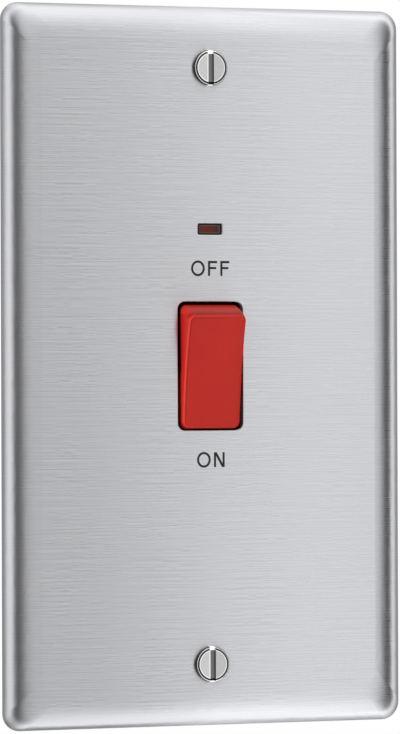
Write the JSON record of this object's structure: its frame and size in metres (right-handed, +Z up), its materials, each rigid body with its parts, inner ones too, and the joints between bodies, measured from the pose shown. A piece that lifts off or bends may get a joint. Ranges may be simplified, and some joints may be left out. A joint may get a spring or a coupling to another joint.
{
  "type": "cooker switch",
  "caption": "Double-pole rocker switch on a tall brushed steel wall plate with rolled edges, an indicator window, slotted fixing screws and tunnel terminals behind.",
  "frame": {"origin": "middle of the plate in the plane of the wall, midway between the two fixing screws", "axes": "+X to the right seen from the front, +Y back into the wall along the fixing screws, +Z up"},
  "size_m": [0.086, 0.0393, 0.146],
  "materials": {
    "brushed_steel": "fine brushing across the width",
    "screw_steel": "bright nickel plate",
    "plated_steel": "zinc plate",
    "brass": "machined",
    "copper": "rolled strip",
    "silver_tip": "polished",
    "black_moulding": "fine moulded texture",
    "grey_moulding": "fine moulded texture",
    "red_moulding": "satin moulded",
    "red_lens": "clear moulded, lamp off",
    "lamp_glass": "clear",
    "resistor_body": "lacquered",
    "tinned_wire": "tinned",
    "white_nylon": "moulded",
    "spring_steel": "drawn wire"
  },
  "bodies": {
    "housing": {"earth_screw": "plated_steel", "earth_strap": "plated_steel", "earth_terminal": "brass", "fixing_screws": "screw_steel", "front_plate": "brushed_steel", "indicator_lens": "red_lens", "line_fixed_tip": "silver_tip", "line_load_strap": "copper", "line_load_terminal": "brass", "line_supply_strap": "copper", "line_supply_terminal": "brass", "module_screws": "plated_steel", "neon_lamp": "lamp_glass", "neon_line_lead": "tinned_wire", "neon_neutral_lead": "tinned_wire", "neon_resistor": "resistor_body", "neutral_fixed_tip": "silver_tip", "neutral_load_strap": "copper", "neutral_load_terminal": "brass", "neutral_supply_strap": "copper", "neutral_supply_terminal": "brass", "rear_base": "grey_moulding", "rocker_frame": "black_moulding", "terminal_screws": "plated_steel", "weld_pillars": "plated_steel"},
    "rocker": {"rocker": "red_moulding", "line_spring": "spring_steel", "neutral_spring": "spring_steel"},
    "line_plunger": {"line_plunger": "white_nylon"},
    "line_seesaw": {"line_moving_contact": "copper", "line_moving_tip": "silver_tip"},
    "neutral_plunger": {"neutral_plunger": "white_nylon"},
    "neutral_seesaw": {"neutral_moving_contact": "copper", "neutral_moving_tip": "silver_tip"}
  },
  "joints": [
    {"name": "rocker_tilt", "type": "hinge", "parent": "housing", "child": "rocker", "pos_m": [0, -0.001, 0], "axis": [-1, 0, 0], "range_deg": [0, 20]},
    {"name": "line_contact_swing", "type": "hinge", "parent": "housing", "child": "line_seesaw", "pos_m": [-0.00357, 0.0106, 0], "axis": [-1, 0, 0], "range_deg": [-24, 0]},
    {"name": "line_plunger_slide", "type": "slide", "parent": "rocker", "child": "line_plunger", "axis": [0, -0.9848, -0.1736], "range_m": [0, 0.0012], "stiffness_N_per_m": 200, "springref_m": -0.01, "deforming": ["line_spring"]},
    {"name": "neutral_contact_swing", "type": "hinge", "parent": "housing", "child": "neutral_seesaw", "pos_m": [0.00357, 0.0106, 0], "axis": [-1, 0, 0], "range_deg": [-24, 0]},
    {"name": "neutral_plunger_slide", "type": "slide", "parent": "rocker", "child": "neutral_plunger", "axis": [0, -0.9848, -0.1736], "range_m": [0, 0.0012], "stiffness_N_per_m": 200, "springref_m": -0.01, "deforming": ["neutral_spring"]}
  ],
  "couplings": [
    {"joint": "line_contact_swing", "follows": "rocker_tilt", "ratio": -1.2},
    {"joint": "neutral_contact_swing", "follows": "rocker_tilt", "ratio": -1.2}
  ]
}
